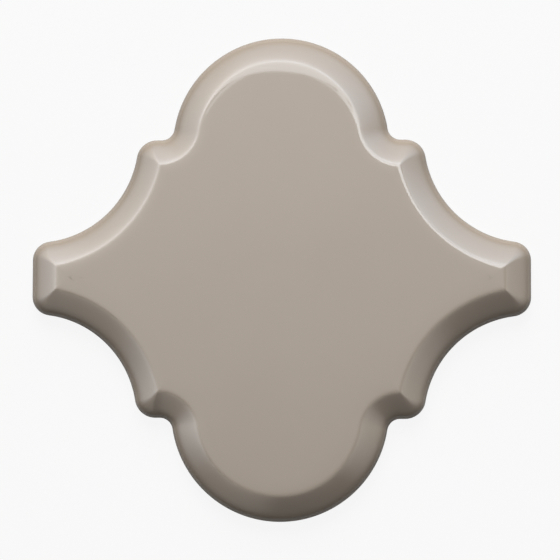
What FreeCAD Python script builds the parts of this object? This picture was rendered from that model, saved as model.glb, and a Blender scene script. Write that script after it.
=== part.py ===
"""Glazed arabesque wall tile, lying on its back with the glazed face up.

One pressed and fired piece. A quarter of the outline is drawn once and mirrored both ways: a round
lobe, a tight neck, a rounded shoulder, a hollow waist and a blunt tip. One edge section runs round
that outline with mitred corners, and shallow keys for the adhesive are pressed into the back.

Millimetres, +Z up. The origin is the middle of the back, X runs through the two tips and Y through
the two lobes.
"""

import FreeCAD
import Part
import os
from math import atan2, cos, floor, hypot, pi, radians, sin, sqrt

import Sketcher

NODE = "arabesque_tile"

# Alias, value in millimetres (in degrees for the slope), and what it measures.
SIZES = (
    ("tile_width", 150.0, "over the two tips"),
    ("tile_height", 145.5, "over the two lobes"),
    ("lobe_radius", 32.6, "round end, top and bottom"),
    ("neck_radius", 3.9, "hollow between lobe and shoulder"),
    ("shoulder_span", 83.8, "over the ledges above and below the waist"),
    ("ledge_length", 1.4, "straight between neck and shoulder"),
    ("shoulder_radius", 6.2, "rounded shoulder"),
    ("waist_radius", 30.9, "hollow between shoulder and tip"),
    ("tip_radius", 5.7, "rounded corner of a tip"),
    ("tip_flat", 11.0, "straight end of a tip"),
    ("back_chamfer", 0.5, "broken edge round the back"),
    ("wall_height", 3.1, "back to the start of the rounded edge"),
    ("edge_radius", 3.6, "rounded edge between wall and bevel"),
    ("bevel_length", 5.89, "flat of the bevel, along its slope"),
    ("bevel_slope", 30.0, "degrees between bevel and face"),
    ("arris_radius", 4.0, "soft break between bevel and face"),
    ("key_rim", 7.0, "plain margin round the back"),
    ("key_width", 5.0, "one key across"),
    ("key_pitch", 10.0, "from one key to the next"),
    ("key_depth", 0.8, "how far a key is pressed in"),
)

# How a sketch numbers its own axes, and the points of an edge.
X_AXIS, Y_AXIS = range(-1, -3, -1)
START, END, CENTRE = range(1, 4)
ORIGIN = (X_AXIS, START)


def make_sheet(doc):
    """Fills the sheet that drives every object."""
    sheet = doc.addObject("Spreadsheet::Sheet", "sizes")
    for row, (alias, value, meaning) in enumerate(SIZES, start=1):
        sheet.set(f"A{row}", meaning)
        sheet.set(f"B{row}", str(value))
        sheet.setAlias(f"B{row}", alias)
    doc.recompute()
    return sheet


def arc(centre, radius, first, last):
    """Arc about a centre, anticlockwise between two angles."""
    circle = Part.Circle(FreeCAD.Vector(*centre), FreeCAD.Vector(0, 0, 1), radius)
    return Part.ArcOfCircle(circle, first, last)


def line(first, last):
    """Straight edge between two points of a sketch."""
    return Part.LineSegment(FreeCAD.Vector(*first), FreeCAD.Vector(*last))


def bind(sketch, name, expression, *constraint):
    """Adds one named dimension and ties it to the sheet."""
    index = sketch.addConstraint(Sketcher.Constraint(*constraint))
    sketch.renameConstraint(index, name)
    sketch.setExpression(f"Constraints.{name}", expression)


def draw_quarter(doc, sheet):
    """Draws a quarter of the outline, from the top of the lobe to the middle of the tip."""
    half_width = sheet.tile_width / 2
    half_height = sheet.tile_height / 2
    half_flat = sheet.tip_flat / 2
    level = sheet.shoulder_span / 2

    lobe = (0.0, half_height - sheet.lobe_radius, 0.0)
    neck_y = level + sheet.neck_radius
    neck_x = sqrt((sheet.lobe_radius + sheet.neck_radius) ** 2 - (neck_y - lobe[1]) ** 2)
    neck = (neck_x, neck_y, 0.0)
    shoulder = (neck_x + sheet.ledge_length, level - sheet.shoulder_radius, 0.0)
    tip = (half_width - sheet.tip_radius, half_flat, 0.0)

    # The waist touches the shoulder and the tip, so its centre lies at two known distances.
    run = tip[0] - shoulder[0]
    rise = tip[1] - shoulder[1]
    apart = hypot(run, rise)
    to_shoulder = sheet.waist_radius + sheet.shoulder_radius
    to_tip = sheet.waist_radius + sheet.tip_radius
    along = (apart ** 2 + to_shoulder ** 2 - to_tip ** 2) / (2 * apart)
    aside = sqrt(to_shoulder ** 2 - along ** 2)
    waist_x = shoulder[0] + (along * run - aside * rise) / apart
    waist_y = shoulder[1] + (along * rise + aside * run) / apart
    waist = (waist_x, waist_y, 0.0)

    neck_turn = atan2(neck[1] - lobe[1], neck[0] - lobe[0])
    shoulder_turn = atan2(waist[1] - shoulder[1], waist[0] - shoulder[0])
    tip_turn = atan2(waist[1] - tip[1], waist[0] - tip[0])

    sketch = doc.addObject("Sketcher::SketchObject", "quarter_outline")
    lobe_arc = sketch.addGeometry(arc(lobe, sheet.lobe_radius, neck_turn, pi / 2))
    neck_arc = sketch.addGeometry(arc(neck, sheet.neck_radius, neck_turn + pi, 1.5 * pi))
    ledge = sketch.addGeometry(line((neck_x, level, 0), (shoulder[0], level, 0)))
    shoulder_arc = sketch.addGeometry(arc(shoulder, sheet.shoulder_radius, shoulder_turn, pi / 2))
    waist_arc = sketch.addGeometry(arc(waist, sheet.waist_radius, shoulder_turn + pi, tip_turn + pi))
    tip_arc = sketch.addGeometry(arc(tip, sheet.tip_radius, 0, tip_turn))
    tip_end = sketch.addGeometry(line((half_width, half_flat, 0), (half_width, 0, 0)))

    smooth_joints = (
        (lobe_arc, START, neck_arc, START),
        (neck_arc, END, ledge, START),
        (ledge, END, shoulder_arc, END),
        (shoulder_arc, START, waist_arc, START),
        (waist_arc, END, tip_arc, END),
        (tip_arc, START, tip_end, START),
    )
    for joint in smooth_joints:
        sketch.addConstraint(Sketcher.Constraint("Tangent", *joint))
    sketch.addConstraint(Sketcher.Constraint("PointOnObject", lobe_arc, CENTRE, Y_AXIS))
    sketch.addConstraint(Sketcher.Constraint("PointOnObject", lobe_arc, END, Y_AXIS))
    sketch.addConstraint(Sketcher.Constraint("PointOnObject", tip_end, END, X_AXIS))
    sketch.addConstraint(Sketcher.Constraint("Horizontal", ledge))
    sketch.addConstraint(Sketcher.Constraint("Vertical", tip_end))

    radii = (
        ("lobe_radius", lobe_arc),
        ("neck_radius", neck_arc),
        ("shoulder_radius", shoulder_arc),
        ("waist_radius", waist_arc),
        ("tip_radius", tip_arc),
    )
    for name, edge in radii:
        bind(sketch, name, f"sizes.{name}", "Radius", edge, sheet.get(name))
    bind(sketch, "half_width", "sizes.tile_width / 2", "DistanceX", *ORIGIN, tip_end, END, half_width)
    bind(sketch, "half_height", "sizes.tile_height / 2", "DistanceY", *ORIGIN, lobe_arc, END, half_height)
    bind(sketch, "level", "sizes.shoulder_span / 2", "DistanceY", *ORIGIN, ledge, START, level)
    bind(sketch, "ledge_length", "sizes.ledge_length",
         "DistanceX", ledge, START, ledge, END, sheet.ledge_length)
    bind(sketch, "half_flat", "sizes.tip_flat / 2", "DistanceY", tip_end, END, tip_end, START, half_flat)
    return sketch


def draw_section(doc, sheet):
    """Draws the edge section face down on the YZ plane: in from the outline along Y, heights along -Z."""
    slope = radians(sheet.bevel_slope)
    chamfer = sheet.back_chamfer
    edge = (sheet.edge_radius, -sheet.wall_height, 0.0)
    bevel_in = edge[0] - sheet.edge_radius * sin(slope)
    bevel_up = edge[1] - sheet.edge_radius * cos(slope)
    arris_in = bevel_in + sheet.bevel_length * cos(slope)
    arris_up = bevel_up - sheet.bevel_length * sin(slope)
    arris = (arris_in + sheet.arris_radius * sin(slope), arris_up + sheet.arris_radius * cos(slope), 0.0)

    sketch = doc.addObject("Sketcher::SketchObject", "edge_section")
    broken = sketch.addGeometry(line((chamfer, 0, 0), (0, -chamfer, 0)))
    wall = sketch.addGeometry(line((0, -chamfer, 0), (0, -sheet.wall_height, 0)))
    edge_arc = sketch.addGeometry(arc(edge, sheet.edge_radius, pi, 1.5 * pi - slope))
    bevel = sketch.addGeometry(line((bevel_in, bevel_up, 0), (arris_in, arris_up, 0)))
    arris_arc = sketch.addGeometry(arc(arris, sheet.arris_radius, 1.5 * pi - slope, 1.5 * pi))

    sketch.addConstraint(Sketcher.Constraint("Coincident", broken, END, wall, START))
    sketch.addConstraint(Sketcher.Constraint("Tangent", wall, END, edge_arc, START))
    sketch.addConstraint(Sketcher.Constraint("Tangent", edge_arc, END, bevel, START))
    sketch.addConstraint(Sketcher.Constraint("Tangent", bevel, END, arris_arc, START))
    sketch.addConstraint(Sketcher.Constraint("PointOnObject", broken, START, X_AXIS))
    sketch.addConstraint(Sketcher.Constraint("PointOnObject", wall, START, Y_AXIS))
    sketch.addConstraint(Sketcher.Constraint("PointOnObject", wall, END, Y_AXIS))
    sketch.addConstraint(Sketcher.Constraint("Vertical", arris_arc, CENTRE, arris_arc, END))

    bind(sketch, "chamfer_in", "sizes.back_chamfer", "DistanceX", *ORIGIN, broken, START, chamfer)
    bind(sketch, "chamfer_up", "sizes.back_chamfer", "DistanceY", wall, START, *ORIGIN, chamfer)
    bind(sketch, "wall_height", "sizes.wall_height", "DistanceY", wall, END, *ORIGIN, sheet.wall_height)
    bind(sketch, "edge_radius", "sizes.edge_radius", "Radius", edge_arc, sheet.edge_radius)
    bind(sketch, "bevel_length", "sizes.bevel_length", "Distance", bevel, sheet.bevel_length)
    bind(sketch, "bevel_slope", "-sizes.bevel_slope * 1 deg", "Angle", bevel, -slope)
    bind(sketch, "arris_radius", "sizes.arris_radius", "Radius", arris_arc, sheet.arris_radius)

    axes = (FreeCAD.Vector(0, 1, 0), FreeCAD.Vector(0, 0, 1), FreeCAD.Vector(1, 0, 0))
    upright = FreeCAD.Rotation(*axes, "XYZ")
    sketch.Placement = FreeCAD.Placement(FreeCAD.Vector(), upright)
    return sketch


def mirror_outline(doc, quarter):
    """Closes the outline from the quarter and its three mirror images."""
    middle = FreeCAD.Vector()
    half = quarter.Shape.Edges + quarter.Shape.mirror(middle, FreeCAD.Vector(1, 0, 0)).Edges
    other_half = [edge.mirror(middle, FreeCAD.Vector(0, 1, 0)) for edge in half]
    outline = doc.addObject("Part::Feature", "outline")
    outline.Shape = Part.Face(Part.Wire(Part.__sortEdges__(half + other_half)))
    return outline


def press_body(doc, outline, section):
    """Runs the section round the outline with mitred corners, then turns the body face up."""
    body = doc.addObject("Part::Feature", "pressed_body")
    body.Shape = outline.Shape.Faces[0].makeEvolved(
        Profile=section.Shape.Wires[0], Join=0, AxeProf=True, Solid=True, ProfOnSpine=False)
    body.Placement = FreeCAD.Placement(FreeCAD.Vector(), FreeCAD.Rotation(FreeCAD.Vector(1, 0, 0), 180))
    return body


def key_bars(doc, sheet):
    """Lays one bar across the back for each whole key that fits inside the plain margin."""
    reach = sheet.tile_height / 2 - sheet.key_rim - sheet.key_width / 2
    pairs = floor(reach / sheet.key_pitch + 0.5)
    bars = []
    for step in range(-pairs, pairs):
        bar = doc.addObject("Part::Box", f"key_bar_{step + pairs + 1}")
        bar.setExpression("Length", "sizes.tile_width")
        bar.setExpression("Width", "sizes.key_width")
        bar.setExpression("Height", "sizes.key_depth")
        bar.setExpression("Placement.Base.x", "-sizes.tile_width / 2")
        bar.setExpression("Placement.Base.y", f"({step} + 0.5) * sizes.key_pitch - sizes.key_width / 2")
        bars.append(bar)
    row = doc.addObject("Part::Compound", "key_bars")
    row.Links = bars
    return row


def press_keys(doc, sheet, outline):
    """Keeps the part of each bar that lies inside the plain margin of the back."""
    margin = doc.addObject("Part::Offset2D", "key_margin")
    margin.Source = outline
    margin.setExpression("Value", "-sizes.key_rim")
    field = doc.addObject("Part::Extrusion", "key_field")
    field.Base = margin
    field.DirMode = "Custom"
    field.Dir = FreeCAD.Vector(0, 0, 1)
    field.Solid = True
    field.setExpression("LengthFwd", "sizes.key_depth")
    keys = doc.addObject("Part::Common", "back_keys")
    keys.Base = field
    keys.Tool = key_bars(doc, sheet)
    return keys


def check(doc):
    """Stops the build if any object failed or holds a bad shape."""
    for item in doc.Objects:
        if "Invalid" in item.State or "Error" in item.State:
            raise RuntimeError(f"{item.Name} failed: {item.State}")
        if hasattr(item, "Shape") and (item.Shape.isNull() or not item.Shape.isValid()):
            raise RuntimeError(f"{item.Name} has no valid shape")


def main():
    """Builds the tile and writes it as one solid."""
    doc = FreeCAD.newDocument("arabesque_tile")
    sheet = make_sheet(doc)
    quarter = draw_quarter(doc, sheet)
    section = draw_section(doc, sheet)
    doc.recompute()
    outline = mirror_outline(doc, quarter)
    body = press_body(doc, outline, section)
    keys = press_keys(doc, sheet, outline)
    tile = doc.addObject("Part::Cut", NODE)
    tile.Label = NODE
    tile.Base = body
    tile.Tool = keys
    tile.Placement = FreeCAD.Placement()
    doc.recompute()
    check(doc)

    pressed_in = body.Shape.Volume - tile.Shape.Volume
    if len(tile.Shape.Solids) != 1 or abs(pressed_in - keys.Shape.Volume) > 0.01 * keys.Shape.Volume:
        raise RuntimeError("the keys did not cut one solid cleanly")
    os.makedirs("parts", exist_ok=True)
    tile.Shape.exportStep(f"parts/{tile.Label}.step")
    print(f"{tile.Label}: {tile.Shape.Volume / 1000:.2f} cm3, keys {keys.Shape.Volume / 1000:.2f} cm3")


main()
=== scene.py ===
"""Looks of the glazed arabesque tile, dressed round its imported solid.

The tile is modelled from one loop of edges that is laid round the back, raised step by step along
the edge section and closed over the face. Metres, +Z out of the glazed face, X through the tips and
Y through the lobes.
"""

import logging
import math
from collections.abc import Callable
from dataclasses import dataclass, field
from enum import Enum, IntEnum

import bmesh
import bpy
from mathutils import Matrix, Quaternion, Vector

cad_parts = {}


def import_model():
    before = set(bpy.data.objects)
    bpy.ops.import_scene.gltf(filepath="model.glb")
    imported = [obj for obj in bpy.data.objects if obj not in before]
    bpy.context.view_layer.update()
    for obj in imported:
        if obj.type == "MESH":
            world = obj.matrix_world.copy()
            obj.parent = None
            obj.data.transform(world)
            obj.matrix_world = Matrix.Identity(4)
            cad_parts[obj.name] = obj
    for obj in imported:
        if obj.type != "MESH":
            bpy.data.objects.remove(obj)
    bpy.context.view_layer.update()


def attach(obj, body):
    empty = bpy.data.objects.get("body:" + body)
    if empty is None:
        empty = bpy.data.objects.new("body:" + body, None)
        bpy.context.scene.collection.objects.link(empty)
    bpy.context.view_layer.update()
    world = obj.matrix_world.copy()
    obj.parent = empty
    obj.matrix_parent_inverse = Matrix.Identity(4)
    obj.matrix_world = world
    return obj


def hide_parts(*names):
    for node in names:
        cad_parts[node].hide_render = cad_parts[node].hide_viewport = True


LOG = logging.getLogger("arabesque_tile")
MM = 0.001
NODE = "arabesque_tile"
SLOT = "taupe_glaze"
BODY = "root"
THIN = "thin_glaze"
STATION = "station"

Colour = tuple[float, float, float]
Place = tuple[float, float, float]
Pair = tuple[float, float]

WHITE: Colour = (1.0, 1.0, 1.0)
BLACK: Colour = (0.0, 0.0, 0.0)


class Coat(Enum):
    """Material slots of the tile, by what covers the clay."""

    GLAZED = 0
    BARE = 1


class Cut(Enum):
    """How a cutter acts on a piece: it keeps what both share, or takes its own room away."""

    SHARED = "INTERSECT"
    REMOVED = "DIFFERENCE"


class Reach(Enum):
    """What a lamp is seen by: soft light only, or mirror images only."""

    SOFT = "soft"
    MIRROR = "mirror"


class MixSocket(IntEnum):
    """Places of the colour sockets on a mix node."""

    FACTOR = 0
    FIRST = 6
    SECOND = 7
    RESULT = 2


def mm(*sizes: float) -> tuple[float, ...]:
    """Gives sizes in millimetres as metres."""
    return tuple(size * MM for size in sizes)


def deselect_all() -> None:
    """Leaves edit mode and clears the selection."""
    if bpy.context.object and bpy.context.object.mode != "OBJECT":
        bpy.ops.object.mode_set(mode="OBJECT")
    bpy.ops.object.select_all(action="DESELECT")


def make_active(piece: bpy.types.Object) -> None:
    """Selects one object alone and makes it the active one.

    Args:
        piece: Object that the next operators act on.
    """
    deselect_all()
    piece.select_set(True)
    bpy.context.view_layer.objects.active = piece


def on_arc(centre: Vector, radius: float, turn: float) -> Vector:
    """Gives the point of a flat arc at one angle."""
    return centre + Vector((math.cos(turn), math.sin(turn))) * radius


def heading(first: Vector, last: Vector) -> float:
    """Gives the angle, in plan, of the way from one point to another."""
    return math.atan2(last.y - first.y, last.x - first.x)


def meet(first: Vector, first_reach: float, second: Vector, second_reach: float) -> Vector:
    """Finds the point that lies at two known distances from two centres.

    Args:
        first: Centre that the point is measured from.
        first_reach: Distance from the first centre.
        second: Other centre.
        second_reach: Distance from the other centre.

    Returns:
        The one of the two points that lies to the left of the line from first to second.
    """
    line = second - first
    apart = line.length
    along = (apart**2 + first_reach**2 - second_reach**2) / (2 * apart)
    aside = math.sqrt(max(first_reach**2 - along**2, 0.0))
    ahead = line / apart
    return first + ahead * along + Vector((-ahead.y, ahead.x)) * aside


@dataclass(frozen=True)
class Outline:
    """Plan of the tile: a quarter of its outline, at any distance in from the edge."""

    half_width: float = 75.0 * MM
    half_height: float = 72.75 * MM
    lobe_radius: float = 32.6 * MM
    neck_radius: float = 3.9 * MM
    ledge_level: float = 41.9 * MM
    ledge_length: float = 1.4 * MM
    shoulder_radius: float = 6.2 * MM
    waist_radius: float = 30.9 * MM
    tip_radius: float = 5.7 * MM
    half_flat: float = 5.5 * MM
    mitre_radius: float = 0.35 * MM
    mitre_blend: float = 3.0 * MM
    lobe_steps: int = 48
    neck_steps: int = 20
    ledge_steps: int = 3
    shoulder_steps: int = 12
    waist_steps: int = 44
    tip_steps: int = 10
    flat_steps: int = 4

    @property
    def lobe(self) -> Vector:
        """Centre of the round lobe."""
        return Vector((0.0, self.half_height - self.lobe_radius))

    @property
    def neck(self) -> Vector:
        """Centre of the hollow between lobe and shoulder.

        Returns:
            A point that is a neck's radius over the ledge and touches the lobe.
        """
        level = self.ledge_level + self.neck_radius
        reach = self.lobe_radius + self.neck_radius
        return Vector((math.sqrt(reach**2 - (level - self.lobe.y) ** 2), level))

    @property
    def shoulder(self) -> Vector:
        """Centre of the rounded shoulder."""
        return Vector((self.neck.x + self.ledge_length, self.ledge_level - self.shoulder_radius))

    @property
    def tip(self) -> Vector:
        """Centre of the rounded corner of the tip."""
        return Vector((self.half_width - self.tip_radius, self.half_flat))

    @property
    def waist(self) -> Vector:
        """Centre of the hollow waist, which touches the shoulder and the tip."""
        to_shoulder = self.waist_radius + self.shoulder_radius
        return meet(self.shoulder, to_shoulder, self.tip, self.waist_radius + self.tip_radius)

    def corner_radius(self, plain: float) -> float:
        """Gives the rounding of a corner: its plain radius, eased into the small one of a mitre."""
        ease = max(self.mitre_blend - abs(plain - self.mitre_radius), 0.0) / self.mitre_blend
        return max(plain, self.mitre_radius) + ease**2 * self.mitre_blend / 4

    def shoulder_corner(self, inset: float) -> tuple[Vector, float]:
        """Finds the rounding of the shoulder at a distance in from the edge.

        Args:
            inset: Distance in from the outline.

        Returns:
            Centre and radius of the rounding.
        """
        radius = self.corner_radius(self.shoulder_radius - inset)
        reach = self.waist_radius + inset + radius
        level = self.ledge_level - inset - radius
        centre = Vector((self.waist.x - math.sqrt(reach**2 - (self.waist.y - level) ** 2), level))
        if centre.x < self.neck.x:
            centre = meet(self.waist, reach, self.neck, self.neck_radius + inset + radius)
        return centre, radius

    def tip_corner(self, inset: float) -> tuple[Vector, float]:
        """Finds the rounding of the tip's corner at a distance in from the edge.

        Args:
            inset: Distance in from the outline.

        Returns:
            Centre and radius of the rounding.
        """
        radius = self.corner_radius(self.tip_radius - inset)
        reach = self.waist_radius + inset + radius
        side = self.half_width - inset - radius
        return Vector((side, self.waist.y - math.sqrt(reach**2 - (self.waist.x - side) ** 2))), radius

    def quarter(self, inset: float) -> list[Vector]:
        """Lays the points of a quarter of the outline, from the top of the lobe to the tip.

        Args:
            inset: Distance in from the outline.

        Returns:
            Points in plan, the same number at every inset, with both ends on an axis.
        """
        lobe, neck, waist = self.lobe, self.neck, self.waist
        corner, corner_radius = self.shoulder_corner(inset)
        point, point_radius = self.tip_corner(inset)
        neck_reach = self.neck_radius + inset
        waist_reach = self.waist_radius + inset
        neck_turn = heading(lobe, neck)
        neck_end = 1.5 * math.pi
        ledge_start = Vector((neck.x, self.ledge_level - inset))
        if corner.x < neck.x:
            neck_end = heading(neck, corner) % (2 * math.pi)
            ledge_start = on_arc(neck, neck_reach, neck_end)
        shoulder_start = neck_end - math.pi
        shoulder_end = heading(corner, waist)
        tip_turn = heading(point, waist)
        ledge_end = on_arc(corner, corner_radius, shoulder_start)
        flat_end = Vector((self.half_width - inset, 0.0))
        flat_start = Vector((flat_end.x, point.y))
        runs = (
            (self.lobe_steps, self.arc_run(lobe, self.lobe_radius - inset, math.pi / 2, neck_turn)),
            (self.neck_steps, self.arc_run(neck, neck_reach, neck_turn + math.pi, neck_end)),
            (self.ledge_steps, self.straight_run(ledge_start, ledge_end)),
            (self.shoulder_steps, self.arc_run(corner, corner_radius, shoulder_start, shoulder_end)),
            (
                self.waist_steps,
                self.arc_run(waist, waist_reach, shoulder_end + math.pi, tip_turn + math.pi),
            ),
            (self.tip_steps, self.arc_run(point, point_radius, tip_turn, 0.0)),
            (self.flat_steps, self.straight_run(flat_start, flat_end)),
        )
        points = [run(step / steps) for steps, run in runs for step in range(steps)]
        return points + [flat_end]

    @staticmethod
    def arc_run(centre: Vector, radius: float, first: float, last: float) -> Callable[[float], Vector]:
        """Gives a function from 0..1 to the points of an arc."""
        return lambda share: on_arc(centre, radius, first + (last - first) * share)

    @staticmethod
    def straight_run(first: Vector, last: Vector) -> Callable[[float], Vector]:
        """Gives a function from 0..1 to the points of a straight edge."""
        return lambda share: first.lerp(last, share)

    def loop(self, inset: float) -> list[Vector]:
        """Lays the whole outline from the quarter and its three mirror images.

        Args:
            inset: Distance in from the outline.

        Returns:
            Points in plan, once round, clockwise from the top of the lobe.
        """
        quarter = self.quarter(inset)
        right = quarter + [Vector((p.x, -p.y)) for p in reversed(quarter[:-1])]
        left = [Vector((-p.x, p.y)) for p in reversed(right[1:-1])]
        return right + left


@dataclass(frozen=True)
class Level:
    """One loop of the edge section: how far in and how high it lies, its wave, coat and thin glaze."""

    inset: float
    height: float
    wave: float = 0.0
    coat: Coat = Coat.GLAZED
    thin: float = 0.0


@dataclass(frozen=True)
class Softening:
    """One part of the rounding of an arris: its share of the turn, its spread and how far out it lies."""

    share: float
    spread: float
    outward: float = 0.0

    def drop(self, before: float) -> float:
        """Gives how far the surface has dropped, for a slope of one, at a distance before the arris."""
        return self.share * self.spread * math.log1p(math.exp((before - self.outward) / self.spread))


@dataclass(frozen=True)
class Ripple:
    """One wave of the glaze's lower edge: its number round the tile, its height and its start."""

    count: int
    height: float
    start: float

    def lift(self, turn: float) -> float:
        """Gives the height of the wave at an angle round the tile."""
        return self.height * math.sin(self.count * turn + self.start)


@dataclass(frozen=True)
class EdgeSection:
    """Section of the tile's edge, from the back up the wall and over the bevel to the face."""

    back_chamfer: float = 0.5 * MM
    wall_height: float = 3.1 * MM
    edge_radius: float = 3.07 * MM
    edge_slope: float = math.radians(45.0)
    edge_ease: float = 1.0 * MM
    bevel_slope: float = math.radians(30.0)
    arris_inset: float = 7.9 * MM
    pressed_arris: Softening = Softening(0.75, 0.24 * MM)
    glaze_flow: Softening = Softening(0.25, 1.2 * MM, 0.3 * MM)
    arris_reach: float = 4.5 * MM
    thin_reach: float = 4.0 * MM
    face_margin: float = 1.0 * MM
    glaze_start: float = 1.05 * MM
    glaze_lip: float = 0.12 * MM
    lip_profile: tuple[Pair, ...] = ((0.45, 0.25), (0.1, 0.9), (0.0, 2.0))
    glaze_wave: float = 0.16 * MM
    ripples: tuple[Ripple, ...] = (Ripple(7, 1.0, 0.4), Ripple(17, 0.7, 2.1), Ripple(31, 0.5, 4.4))
    edge_steps: int = 10
    bevel_steps: int = 9
    arris_steps: int = 30
    arris_crowding: float = 0.3

    @property
    def bevel_start(self) -> Pair:
        """Inset and height at which the rounded edge runs into the bevel."""
        inset = self.edge_radius * (1 - math.sin(self.edge_slope))
        return inset, self.wall_height + self.edge_radius * math.cos(self.edge_slope)

    @property
    def thickness(self) -> float:
        """Height of the glazed face over the back."""
        inset, height = self.bevel_start
        return height + self.fall(inset)

    def fall(self, inset: float) -> float:
        """Gives how far the surface lies under the face.

        Args:
            inset: Distance in from the edge, not less than where the bevel starts.

        Returns:
            Depth under the level of the face.
        """
        before = self.arris_inset - inset
        drop = self.pressed_arris.drop(before) + self.glaze_flow.drop(before)
        steeper = math.tan(self.edge_slope) - math.tan(self.bevel_slope)
        ease = self.edge_ease * math.exp((self.bevel_start[0] - inset) / self.edge_ease)
        return drop * math.tan(self.bevel_slope) + steeper * ease

    def on_top(self, inset: float) -> Level:
        """Gives the loop on the bevel, the arris or the face at a distance in from the edge."""
        thin = max(1 - abs(self.arris_inset - inset) / self.thin_reach, 0.0) ** 2
        return Level(inset, self.thickness - self.fall(inset), thin=thin)

    def ripple(self, share: float) -> float:
        """Gives the wave of the glaze's lower edge, from -1 to 1, at a share of the way round."""
        lift = sum(ripple.lift(2 * math.pi * share) for ripple in self.ripples)
        return lift / sum(ripple.height for ripple in self.ripples)

    def foot(self) -> list[Level]:
        """Gives the bare foot of the wall and the rounded lip where the glaze ends.

        Returns:
            Loops from the edge of the back to the glazed wall.
        """
        lip = self.glaze_lip
        bare = [
            Level(self.back_chamfer, 0.0, 0.0, Coat.BARE),
            Level(lip, self.back_chamfer, 0.0, Coat.BARE),
            Level(lip, self.glaze_start, self.glaze_wave, Coat.BARE),
        ]
        glazed = [
            Level(lip * inward, self.glaze_start + lip * upward, self.glaze_wave)
            for inward, upward in self.lip_profile
        ]
        return bare + glazed

    def rounding(self) -> list[Level]:
        """Gives the rounded edge between the wall and the bevel.

        Returns:
            Loops from the top of the wall to the start of the bevel.
        """
        whole = math.pi / 2 - self.edge_slope
        turns = [whole * step / self.edge_steps for step in range(self.edge_steps + 1)]
        return [
            Level(
                self.edge_radius * (1 - math.cos(turn)),
                self.wall_height + self.edge_radius * math.sin(turn),
            )
            for turn in turns
        ]

    def bevel(self) -> list[Level]:
        """Gives the bevel, between its start and the stretch where the arris begins to turn.

        Returns:
            Loops inside both ends of the bevel.
        """
        first = self.bevel_start[0]
        last = self.arris_inset - self.arris_reach
        shares = [step / self.bevel_steps for step in range(1, self.bevel_steps)]
        return [self.on_top(first + (last - first) * share) for share in shares]

    def arris(self) -> list[Level]:
        """Gives the softened arris, with its loops crowded where it turns most.

        Returns:
            Loops from the bevel over the arris to the face.
        """
        plain = self.arris_crowding
        shares = [2 * step / self.arris_steps - 1 for step in range(self.arris_steps + 1)]
        crowded = [plain * share + (1 - plain) * share**3 for share in shares]
        return [self.on_top(self.arris_inset + self.arris_reach * share) for share in crowded]

    def levels(self) -> list[Level]:
        """Gives every loop of the section.

        Returns:
            Loops from the edge of the back to the flat margin of the face.
        """
        arris = self.arris()
        margin = Level(arris[-1].inset + self.face_margin, self.thickness)
        return [*self.foot(), *self.rounding(), *self.bevel(), *arris, margin]


@dataclass(frozen=True)
class BackKeys:
    """Keys pressed into the back: shallow bars with drafted sides inside a plain margin."""

    rim: float = 7.0 * MM
    width: float = 5.0 * MM
    pitch: float = 10.0 * MM
    depth: float = 0.8 * MM
    pairs: int = 6
    mouth: float = 0.2 * MM
    draft: float = 0.15 * MM
    clearance: float = 0.5 * MM

    def steps(self) -> list[Pair]:
        """Gives the section of a key's side.

        Returns:
            Heights over the back, each with how far the side lies inside its plain line.
        """
        return [
            (-self.clearance, -self.mouth),
            (0.0, -self.mouth),
            (self.mouth, 0.0),
            (self.depth - self.mouth, self.draft),
            (self.depth, self.draft + self.mouth),
        ]

    def field_steps(self) -> list[Pair]:
        """Gives the section of the field's side, which runs on past both ends of a key's.

        Returns:
            Heights over the back, each with how far the side lies inside its plain line.
        """
        steps = self.steps()
        below = (2 * steps[0][0], steps[0][1])
        above = (self.depth + self.clearance, steps[-1][1])
        return [below, *steps, above]


@dataclass(frozen=True)
class Grain:
    """A noise in the tile's own coordinates: how fine it is and how many finer layers it has."""

    scale: float
    detail: float

    def add(self, tree: bpy.types.NodeTree) -> bpy.types.NodeSocket:
        """Adds the noise to a material.

        Args:
            tree: Node tree of the material.

        Returns:
            The socket that holds the noise, from 0 to 1.
        """
        place = tree.nodes.new("ShaderNodeTexCoord")
        noise = tree.nodes.new("ShaderNodeTexNoise")
        noise.inputs["Scale"].default_value = self.scale
        noise.inputs["Detail"].default_value = self.detail
        tree.links.new(place.outputs["Object"], noise.inputs["Vector"])
        return noise.outputs["Fac"]


@dataclass(frozen=True)
class Tone:
    """A blend from one colour to another, between two levels of a noise."""

    grain: Grain
    low: Colour
    high: Colour
    start: float
    end: float

    def add(self, tree: bpy.types.NodeTree) -> bpy.types.NodeSocket:
        """Adds the blend to a material.

        Args:
            tree: Node tree of the material.

        Returns:
            The socket that holds the colour.
        """
        ramp = tree.nodes.new("ShaderNodeValToRGB")
        first, last = ramp.color_ramp.elements
        first.position = self.start
        first.color = (*self.low, 1.0)
        last.position = self.end
        last.color = (*self.high, 1.0)
        tree.links.new(self.grain.add(tree), ramp.inputs["Fac"])
        return ramp.outputs["Color"]


@dataclass(frozen=True)
class Relief:
    """A relief too fine to model: its noise, its strength and its depth."""

    grain: Grain
    strength: float
    depth: float

    def add(self, tree: bpy.types.NodeTree) -> bpy.types.NodeSocket:
        """Adds the relief to a material.

        Args:
            tree: Node tree of the material.

        Returns:
            The socket that holds the turned normal.
        """
        bump = tree.nodes.new("ShaderNodeBump")
        bump.inputs["Strength"].default_value = self.strength
        bump.inputs["Distance"].default_value = self.depth
        tree.links.new(self.grain.add(tree), bump.inputs["Height"])
        return bump.outputs["Normal"]


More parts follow.
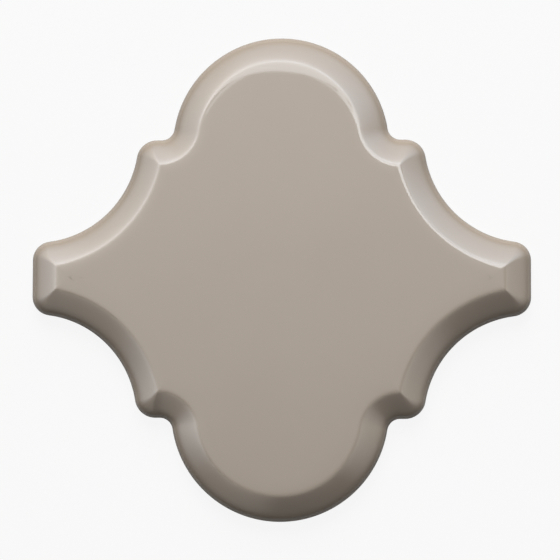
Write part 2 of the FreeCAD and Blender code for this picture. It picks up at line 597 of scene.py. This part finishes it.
def colour_mix(
    tree: bpy.types.NodeTree, share: bpy.types.NodeSocket, first: bpy.types.NodeSocket, second: Colour
) -> bpy.types.NodeSocket:
    """Adds a mix from a colour that varies to a plain one.

    Args:
        tree: Node tree of the material.
        share: Socket with the share of the plain colour.
        first: Socket with the colour that varies.
        second: Plain colour.

    Returns:
        The socket that holds the mixed colour.
    """
    mix = tree.nodes.new("ShaderNodeMix")
    mix.data_type = "RGBA"
    mix.inputs[MixSocket.SECOND].default_value = (*second, 1.0)
    tree.links.new(share, mix.inputs[MixSocket.FACTOR])
    tree.links.new(first, mix.inputs[MixSocket.FIRST])
    return mix.outputs[MixSocket.RESULT]


@dataclass(frozen=True)
class TaupeGlaze:
    """Glossy taupe glaze with a faint cloud of tone, a paler break over the arris and an orange peel."""

    name: str = SLOT
    cloud: Tone = Tone(Grain(28.0, 3.0), (0.356, 0.299, 0.243), (0.368, 0.311, 0.255), 0.3, 0.7)
    broken: Colour = (0.392, 0.333, 0.275)
    peel: Relief = Relief(Grain(260.0, 1.0), 0.02, 0.1 * MM)
    roughness: float = 0.055
    ior: float = 1.55

    def material(self) -> bpy.types.Material:
        """Makes the glaze.

        Returns:
            The material, with its pattern on object coordinates.
        """
        material = bpy.data.materials.new(self.name)
        material.use_nodes = True
        tree = material.node_tree
        shader = tree.nodes["Principled BSDF"]
        shader.inputs["Roughness"].default_value = self.roughness
        shader.inputs["IOR"].default_value = self.ior
        thin = tree.nodes.new("ShaderNodeAttribute")
        thin.attribute_name = THIN
        colour = colour_mix(tree, thin.outputs["Fac"], self.cloud.add(tree), self.broken)
        tree.links.new(colour, shader.inputs["Base Color"])
        tree.links.new(self.peel.add(tree), shader.inputs["Normal"])
        return material


@dataclass(frozen=True)
class BareClay:
    """Pale fired clay on the back and the foot of the wall, with fine specks and a dry grain."""

    name: str = "bare_clay"
    cloud: Tone = Tone(Grain(60.0, 4.0), (0.60, 0.51, 0.41), (0.69, 0.615, 0.52), 0.35, 0.65)
    specks: Tone = Tone(Grain(1400.0, 2.0), WHITE, BLACK, 0.27, 0.33)
    speck: Colour = (0.36, 0.28, 0.21)
    dry: Relief = Relief(Grain(900.0, 5.0), 0.35, 0.15 * MM)
    roughness: float = 0.85

    def material(self) -> bpy.types.Material:
        """Makes the bare clay.

        Returns:
            The material, with its pattern on object coordinates.
        """
        material = bpy.data.materials.new(self.name)
        material.use_nodes = True
        tree = material.node_tree
        shader = tree.nodes["Principled BSDF"]
        shader.inputs["Roughness"].default_value = self.roughness
        colour = colour_mix(tree, self.specks.add(tree), self.cloud.add(tree), self.speck)
        tree.links.new(colour, shader.inputs["Base Color"])
        tree.links.new(self.dry.add(tree), shader.inputs["Normal"])
        return material


@dataclass
class Tile:
    """The fired tile: one closed mesh with a glazed face and wall and a bare keyed back."""

    outline: Outline = field(default_factory=Outline)
    section: EdgeSection = field(default_factory=EdgeSection)
    keys: BackKeys = field(default_factory=BackKeys)
    glaze: TaupeGlaze = field(default_factory=TaupeGlaze)
    clay: BareClay = field(default_factory=BareClay)
    smooth_angle: float = math.radians(32.0)
    face_merge: float = 0.002 * MM
    mesh_merge: float = 0.001 * MM
    same_place: float = 0.001 * MM

    def build(self) -> bpy.types.Object:
        """Models and dresses the tile.

        Returns:
            The finished object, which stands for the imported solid.
        """
        coats = {Coat.GLAZED: self.glaze.material(), Coat.BARE: self.clay.material()}
        tile = self.raise_edge(self.section.levels(), "tile_body", coats)
        self.close_face()
        self.close_back()
        bpy.ops.object.mode_set(mode="OBJECT")
        key_block = self.key_field(coats)
        bars = self.key_bars(coats)
        self.combine(key_block, bars, Cut.SHARED)
        self.combine(tile, key_block, Cut.REMOVED)
        self.finish_mesh(tile)
        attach(tile, BODY)
        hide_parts(NODE)
        return tile

    def raise_edge(
        self, levels: list[Level], name: str, coats: dict[Coat, bpy.types.Material]
    ) -> bpy.types.Object:
        """Lays a first loop of edges and raises it along a section.

        Args:
            levels: Loops of the section, from the first to the last.
            name: Name of the new object.
            coats: Materials of the tile.

        Returns:
            The object, left in edit mode with its last loop selected.
        """
        deselect_all()
        first = self.outline.loop(levels[0].inset)
        bpy.ops.mesh.primitive_circle_add(vertices=len(first), radius=self.outline.half_width)
        piece = bpy.context.object
        piece.name = name
        for coat in Coat:
            piece.data.materials.append(coats[coat])
        bpy.ops.object.mode_set(mode="EDIT")
        mesh = bmesh.from_edit_mesh(piece.data)
        station = mesh.verts.layers.int.new(STATION)
        mesh.verts.layers.float.new(THIN)
        mesh.verts.ensure_lookup_table()
        for index, vertex in enumerate(mesh.verts):
            vertex[station] = index
        self.shape_loop(piece, levels[0])
        bpy.ops.mesh.select_all(action="SELECT")
        for level in levels[1:]:
            bpy.ops.mesh.extrude_edges_move()
            self.shape_loop(piece, level)
        return piece

    def shape_loop(self, piece: bpy.types.Object, level: Level) -> None:
        """Moves the selected loop to its place in the section and coats the faces below it.

        Args:
            piece: Object in edit mode.
            level: Where the loop lies, and what covers the faces below it.
        """
        mesh = bmesh.from_edit_mesh(piece.data)
        station = mesh.verts.layers.int[STATION]
        thin = mesh.verts.layers.float[THIN]
        loop = self.outline.loop(level.inset)
        for vertex in mesh.verts:
            if vertex.select:
                index = vertex[station]
                point = loop[index]
                lift = level.wave * self.section.ripple(index / len(loop))
                vertex.co = (point.x, point.y, level.height + lift)
                vertex[thin] = level.thin
                for face in vertex.link_faces:
                    face.material_index = level.coat.value
        bmesh.update_edit_mesh(piece.data)

    def close_face(self) -> None:
        """Bridges the upper half of the last loop to the lower half and so closes the face."""
        piece = bpy.context.object
        bpy.ops.mesh.select_mode(type="EDGE")
        mesh = bmesh.from_edit_mesh(piece.data)
        side = max(v.co.x for v in mesh.verts if v.select)
        for edge in mesh.edges:
            if edge.select and all(abs(abs(v.co.x) - side) < self.same_place for v in edge.verts):
                edge.select = False
        mesh.select_flush_mode()
        bmesh.update_edit_mesh(piece.data)
        cuts = 2 * self.outline.flat_steps - 1
        bpy.ops.mesh.bridge_edge_loops(number_cuts=cuts, interpolation="LINEAR")
        bpy.ops.mesh.select_all(action="SELECT")
        bpy.ops.mesh.remove_doubles(threshold=self.face_merge)

    def close_back(self) -> None:
        """Fills the back with one bare face and turns all faces outwards."""
        piece = bpy.context.object
        bpy.ops.mesh.select_all(action="DESELECT")
        mesh = bmesh.from_edit_mesh(piece.data)
        for edge in mesh.edges:
            edge.select = edge.is_boundary
        mesh.select_flush_mode()
        bmesh.update_edit_mesh(piece.data)
        bpy.ops.mesh.edge_face_add()
        mesh = bmesh.from_edit_mesh(piece.data)
        for face in mesh.faces:
            if face.select:
                face.material_index = Coat.BARE.value
        bmesh.update_edit_mesh(piece.data)
        bpy.ops.mesh.select_all(action="SELECT")
        bpy.ops.mesh.normals_make_consistent(inside=False)

    def key_field(self, coats: dict[Coat, bpy.types.Material]) -> bpy.types.Object:
        """Models the block that the keys stay inside.

        Args:
            coats: Materials of the tile.

        Returns:
            A closed block in the shape of the back inside its plain margin.
        """
        levels = [
            Level(self.keys.rim + inside, height, coat=Coat.BARE)
            for height, inside in self.keys.field_steps()
        ]
        block = self.raise_edge(levels, "key_field", coats)
        bpy.ops.mesh.edge_face_add()
        self.close_back()
        self.coat_bare(block)
        return block

    def key_bars(self, coats: dict[Coat, bpy.types.Material]) -> bpy.types.Object:
        """Models one drafted bar and copies it once for each key.

        Args:
            coats: Materials of the tile.

        Returns:
            All bars as one object.
        """
        keys = self.keys
        reach = self.outline.half_width
        first, *others = [(height, keys.width / 2 - inside) for height, inside in keys.steps()]
        deselect_all()
        bpy.ops.mesh.primitive_plane_add(size=1.0)
        bar = bpy.context.object
        bar.name = "key_bars"
        for coat in Coat:
            bar.data.materials.append(coats[coat])
        bpy.ops.object.mode_set(mode="EDIT")
        self.shape_bar(bar, reach, *first)
        for step in others:
            bpy.ops.mesh.extrude_region_move()
            self.shape_bar(bar, reach, *step)
        bpy.ops.mesh.select_all(action="SELECT")
        bpy.ops.transform.translate(value=(0.0, (0.5 - keys.pairs) * keys.pitch, 0.0))
        for _ in range(2 * keys.pairs - 1):
            bpy.ops.mesh.duplicate_move(TRANSFORM_OT_translate={"value": (0.0, keys.pitch, 0.0)})
        self.coat_bare(bar)
        return bar

    @staticmethod
    def shape_bar(bar: bpy.types.Object, reach: float, height: float, half: float) -> None:
        """Moves the selected face of a bar to its height and width.

        Args:
            bar: Object in edit mode.
            reach: Half the length of the face.
            height: Height of the face.
            half: Half the width of the face.
        """
        mesh = bmesh.from_edit_mesh(bar.data)
        for vertex in mesh.verts:
            if vertex.select:
                vertex.co = (math.copysign(reach, vertex.co.x), math.copysign(half, vertex.co.y), height)
        bmesh.update_edit_mesh(bar.data)

    @staticmethod
    def coat_bare(piece: bpy.types.Object) -> None:
        """Turns a cutter's faces outwards, leaves it bare all over and ends edit mode.

        Args:
            piece: Object in edit mode.
        """
        bpy.ops.mesh.select_all(action="SELECT")
        bpy.ops.mesh.normals_make_consistent(inside=False)
        mesh = bmesh.from_edit_mesh(piece.data)
        for face in mesh.faces:
            face.material_index = Coat.BARE.value
        bmesh.update_edit_mesh(piece.data)
        bpy.ops.object.mode_set(mode="OBJECT")

    @staticmethod
    def combine(piece: bpy.types.Object, cutter: bpy.types.Object, cut: Cut) -> None:
        """Shapes one object with another and takes the other away.

        Args:
            piece: Object that is shaped.
            cutter: Object that shapes it.
            cut: What stays of the piece.
        """
        make_active(piece)
        modifier = piece.modifiers.new("cut", "BOOLEAN")
        modifier.object = cutter
        modifier.operation = cut.value
        modifier.solver = "EXACT"
        bpy.ops.object.modifier_apply(modifier=modifier.name)
        bpy.data.objects.remove(cutter, do_unlink=True)

    def finish_mesh(self, tile: bpy.types.Object) -> None:
        """Merges doubles, turns the faces outwards and smooths all but the broken edges.

        Args:
            tile: The tile with its keys cut.
        """
        make_active(tile)
        bpy.ops.object.mode_set(mode="EDIT")
        bpy.ops.mesh.select_all(action="SELECT")
        bpy.ops.mesh.remove_doubles(threshold=self.mesh_merge)
        bpy.ops.mesh.normals_make_consistent(inside=False)
        bpy.ops.object.mode_set(mode="OBJECT")
        bpy.ops.object.shade_smooth_by_angle(angle=self.smooth_angle)
        tile.data.attributes.remove(tile.data.attributes[STATION])


@dataclass(frozen=True)
class Softbox:
    """One soft lamp: where it hangs, what it faces, its size, its brightness ahead and its beam."""

    name: str
    place: Place
    target: Place
    width: float
    height: float
    radiance: float
    reach: Reach
    turn: float = 0.0
    colour: Colour = WHITE
    beam: float = math.pi

    @property
    def power(self) -> float:
        """Power that gives the lamp its brightness ahead, through the grid that narrows its beam."""
        half = self.beam / 2
        return self.radiance * math.pi * self.width * self.height * (1 - half / math.tan(half))

    def build(self) -> bpy.types.Object:
        """Hangs the lamp.

        Returns:
            The lamp object.
        """
        deselect_all()
        bpy.ops.object.light_add(type="AREA", location=self.place)
        lamp = bpy.context.object
        lamp.name = self.name
        back = Vector(self.place) - Vector(self.target)
        facing = back.to_track_quat("Z", "Y") @ Quaternion((0.0, 0.0, 1.0), self.turn)
        lamp.rotation_euler = facing.to_euler()
        lamp.data.shape = "RECTANGLE"
        lamp.data.size = self.width
        lamp.data.size_y = self.height
        lamp.data.energy = self.power
        lamp.data.spread = self.beam
        lamp.data.color = self.colour
        lamp.visible_camera = False
        lamp.visible_glossy = self.reach is Reach.MIRROR
        lamp.visible_diffuse = self.reach is Reach.SOFT
        return lamp


@dataclass(frozen=True)
class MirrorCard:
    """A level card over the tile that only mirror images see, laid by the ends of its near edge."""

    name: str
    first: Pair
    last: Pair
    depth: float
    radiance: float
    hang: float = 140.0 * MM
    colour: Colour = (0.95, 1.0, 1.05)
    beam: float = math.radians(100.0)

    def lamp(self) -> Softbox:
        """Gives the lamp that shines as the card.

        Returns:
            A soft lamp that faces straight down.
        """
        first = Vector(self.first)
        last = Vector(self.last)
        ahead = (last - first).normalized()
        middle = (first + last) / 2 + Vector((-ahead.y, ahead.x)) * self.depth / 2
        return Softbox(
            name=self.name,
            place=(middle.x, middle.y, self.hang),
            target=(middle.x, middle.y, 0.0),
            width=(last - first).length,
            height=self.depth,
            radiance=self.radiance,
            reach=Reach.MIRROR,
            turn=heading(first, last),
            colour=self.colour,
            beam=self.beam,
        )


@dataclass(frozen=True)
class Glow:
    """A soft patch of light on the surround: its middle, level, outer and inner reach, and tint."""

    azimuth: float
    zenith: float
    level: float
    edge: float
    core: float
    tint: Colour = WHITE

    @property
    def middle(self) -> Vector:
        """Direction of the middle of the patch.

        Returns:
            A direction of length one.
        """
        lean = math.radians(self.zenith)
        turn = math.radians(self.azimuth)
        return Vector((math.sin(lean) * math.cos(turn), math.sin(lean) * math.sin(turn), math.cos(lean)))

    @property
    def light(self) -> Vector:
        """Tint at its full level."""
        return Vector(self.tint) * self.level


@dataclass(frozen=True)
class Surround:
    """What the glaze mirrors beside the lamps: soft glows on the walls and the ceiling of a dim room."""

    glows: tuple[Glow, ...] = (
        Glow(70.0, 66.0, 3.5, 56.0, 26.0, (0.85, 1.0, 1.2)),
        Glow(160.0, 66.0, 4.2, 56.0, 14.0, (0.96, 1.0, 1.05)),
        Glow(110.0, 30.0, 2.45, 44.0, 10.0),
        Glow(235.0, 62.0, 1.1, 30.0, 4.0, (1.08, 1.0, 0.9)),
        Glow(350.0, 60.0, 1.5, 36.0, 8.0, (1.04, 1.0, 0.95)),
    )
    horizon: Pair = (90.0, 50.0)
    room: float = 0.1

    def light(self, tree: bpy.types.NodeTree) -> bpy.types.NodeSocket:
        """Adds the nodes that give the light of the surround in each direction.

        Args:
            tree: Node tree of the world.

        Returns:
            The socket that holds the light.
        """
        place = tree.nodes.new("ShaderNodeTexCoord").outputs["Generated"]
        total = None
        for glow in self.glows:
            patch = self.vector_node(tree, "SCALE")
            patch.inputs[0].default_value = glow.light
            share = self.cone(tree, place, glow.middle, glow.edge, glow.core)
            tree.links.new(share, patch.inputs["Scale"])
            step = self.vector_node(tree, "ADD")
            tree.links.new(patch.outputs[0], step.inputs[0])
            if total is None:
                step.inputs[1].default_value = (self.room,) * 3
            else:
                tree.links.new(total, step.inputs[1])
            total = step.outputs[0]
        faded = self.vector_node(tree, "SCALE")
        above = self.cone(tree, place, Vector((0.0, 0.0, 1.0)), *self.horizon)
        tree.links.new(above, faded.inputs["Scale"])
        tree.links.new(total, faded.inputs[0])
        return faded.outputs[0]

    @staticmethod
    def vector_node(tree: bpy.types.NodeTree, operation: str) -> bpy.types.Node:
        """Adds a vector node.

        Args:
            tree: Node tree of the world.
            operation: What the node does with its vectors.

        Returns:
            The node, with nothing linked.
        """
        node = tree.nodes.new("ShaderNodeVectorMath")
        node.operation = operation
        return node

    def cone(
        self,
        tree: bpy.types.NodeTree,
        place: bpy.types.NodeSocket,
        middle: Vector,
        edge: float,
        core: float,
    ) -> bpy.types.NodeSocket:
        """Adds a cone that fades out between two angles from its middle.

        Args:
            tree: Node tree of the world.
            place: Socket with the direction that is looked in.
            middle: Direction of the middle of the cone.
            edge: Angle from the middle at which it has faded out, in degrees.
            core: Angle from the middle up to which it is full, in degrees.

        Returns:
            The socket that holds the share of the cone's light.
        """
        facing = self.vector_node(tree, "DOT_PRODUCT")
        facing.inputs[1].default_value = middle
        fade = tree.nodes.new("ShaderNodeMapRange")
        fade.interpolation_type = "SMOOTHSTEP"
        fade.inputs["From Min"].default_value = math.cos(math.radians(edge))
        fade.inputs["From Max"].default_value = math.cos(math.radians(core))
        tree.links.new(place, facing.inputs[0])
        tree.links.new(facing.outputs["Value"], fade.inputs["Value"])
        return fade.outputs["Result"]


@dataclass
class Studio:
    """White floor, soft lamps and the camera that looks down with a slight lean."""

    picture_pixels: float = 560.0
    pixels_per_mm: float = 3.3093
    camera_distance: float = 0.6
    sensor: float = 36.0
    near_clip: float = 0.01
    aim: Place = mm(-0.24, -0.23, 0.0)
    lean: Pair = (math.radians(3.15), math.radians(-3.10))
    roll: float = math.radians(0.22)
    floor_size: float = 6.0
    floor_gap: float = 0.02 * MM
    floor_colour: Colour = (0.5, 0.5, 0.5)
    floor_glow: float = 0.9
    mirrored_glow: float = 0.08
    dome: float = 0.11
    key: Softbox = Softbox(
        name="key_softbox",
        place=(-0.03, 0.919, 0.771),
        target=(0.0, 0.0, 0.0),
        width=0.9,
        height=0.9,
        radiance=8.4,
        reach=Reach.SOFT,
    )
    cards: tuple[MirrorCard, ...] = (
        MirrorCard("near_card", mm(-170.11, 97.6), mm(168.85, 70.92), depth=169.0 * MM, radiance=4.8),
        MirrorCard("side_card", mm(26.72, 68.82), mm(76.22, 19.32), depth=36.0 * MM, radiance=7.0),
        MirrorCard("right_apron", mm(4.0, 83.3), mm(17.5, 77.8), depth=3.0 * MM, radiance=2.6),
        MirrorCard("corner_card", mm(17.0, 78.5), mm(26.7, 68.8), depth=11.0 * MM, radiance=4.6),
        MirrorCard("left_apron", mm(-46.0, 70.0), mm(-20.0, 86.0), depth=5.0 * MM, radiance=2.6),
    )
    surround: Surround = field(default_factory=Surround)

    @property
    def frame_width(self) -> float:
        """Width of what the camera takes in, at the height of its aim."""
        return self.picture_pixels / self.pixels_per_mm * MM

    def build(self) -> None:
        """Lays the floor, hangs the lamps and sets the camera."""
        self.lay_floor()
        self.light_world()
        self.key.build()
        for card in self.cards:
            card.lamp().build()
        self.set_camera()
        bpy.context.scene.view_settings.view_transform = "Standard"

    def lay_floor(self) -> None:
        """Lays a white floor just under the tile."""
        deselect_all()
        bpy.ops.mesh.primitive_plane_add(size=self.floor_size, location=(0.0, 0.0, -self.floor_gap))
        floor = bpy.context.object
        floor.name = "white_floor"
        floor.data.materials.append(self.floor_material())

    def floor_material(self) -> bpy.types.Material:
        """Makes a matt floor that looks white and still keeps the tile's soft shadow.

        Returns:
            The material, which glows to the camera and a little to mirror images.
        """
        material = bpy.data.materials.new("white_floor")
        material.use_nodes = True
        nodes = material.node_tree.nodes
        links = material.node_tree.links
        shader = nodes["Principled BSDF"]
        shader.inputs["Base Color"].default_value = (*self.floor_colour, 1.0)
        shader.inputs["Roughness"].default_value = 1.0
        shader.inputs["Specular IOR Level"].default_value = 0.0
        path = nodes.new("ShaderNodeLightPath")
        seen = nodes.new("ShaderNodeMath")
        seen.operation = "MAXIMUM"
        plain = nodes.new("ShaderNodeMath")
        plain.operation = "MULTIPLY"
        plain.inputs[1].default_value = self.floor_glow
        share = nodes.new("ShaderNodeMath")
        share.operation = "MULTIPLY_ADD"
        share.inputs[1].default_value = self.mirrored_glow
        glow = nodes.new("ShaderNodeEmission")
        blend = nodes.new("ShaderNodeMixShader")
        links.new(path.outputs["Is Camera Ray"], seen.inputs[0])
        links.new(path.outputs["Is Transmission Ray"], seen.inputs[1])
        links.new(seen.outputs[0], plain.inputs[0])
        links.new(path.outputs["Is Glossy Ray"], share.inputs[0])
        links.new(plain.outputs[0], share.inputs[2])
        links.new(share.outputs[0], blend.inputs["Fac"])
        links.new(shader.outputs["BSDF"], blend.inputs[1])
        links.new(glow.outputs["Emission"], blend.inputs[2])
        links.new(blend.outputs["Shader"], nodes["Material Output"].inputs["Surface"])
        return material

    def light_world(self) -> None:
        """Gives the world a dim even light, its surround to mirror images and white to the camera."""
        world = bpy.data.worlds.new("studio")
        bpy.context.scene.world = world
        world.use_nodes = True
        nodes = world.node_tree.nodes
        links = world.node_tree.links
        path = nodes.new("ShaderNodeLightPath")
        mirrored = nodes.new("ShaderNodeMix")
        mirrored.data_type = "RGBA"
        mirrored.inputs[MixSocket.FIRST].default_value = (self.dome, self.dome, self.dome, 1.0)
        surround = self.surround.light(world.node_tree)
        links.new(path.outputs["Is Glossy Ray"], mirrored.inputs[MixSocket.FACTOR])
        links.new(surround, mirrored.inputs[MixSocket.SECOND])
        light = mirrored.outputs[MixSocket.RESULT]
        seen = colour_mix(world.node_tree, path.outputs["Is Camera Ray"], light, WHITE)
        links.new(seen, nodes["Background"].inputs["Color"])

    def set_camera(self) -> None:
        """Sets the camera over the tile, leaning a little to the right and the front."""
        away = Vector((math.sin(self.lean[0]), math.sin(self.lean[1]), 0.0))
        away.z = math.sqrt(1 - away.length_squared)
        up = Vector((-math.sin(self.roll), math.cos(self.roll), 0.0))
        up = (up - away * up.dot(away)).normalized()
        deselect_all()
        bpy.ops.object.camera_add(location=Vector(self.aim) + away * self.camera_distance)
        camera = bpy.context.object
        camera.name = "overhead_camera"
        camera.rotation_euler = Matrix((up.cross(away), up, away)).transposed().to_euler()
        camera.data.sensor_width = self.sensor
        camera.data.lens = self.sensor * self.camera_distance / self.frame_width
        camera.data.clip_start = self.near_clip
        camera.data.dof.use_dof = False
        bpy.context.scene.camera = camera


def main() -> None:
    """Builds the tile and the studio round it."""
    logging.basicConfig(level=logging.INFO, format="%(name)s: %(message)s")
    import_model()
    tile = Tile().build()
    LOG.info("%s: %d faces", tile.name, len(tile.data.polygons))
    Studio().build()
    LOG.info("studio: floor, lamps and camera")


if __name__ == "__main__":
    main()
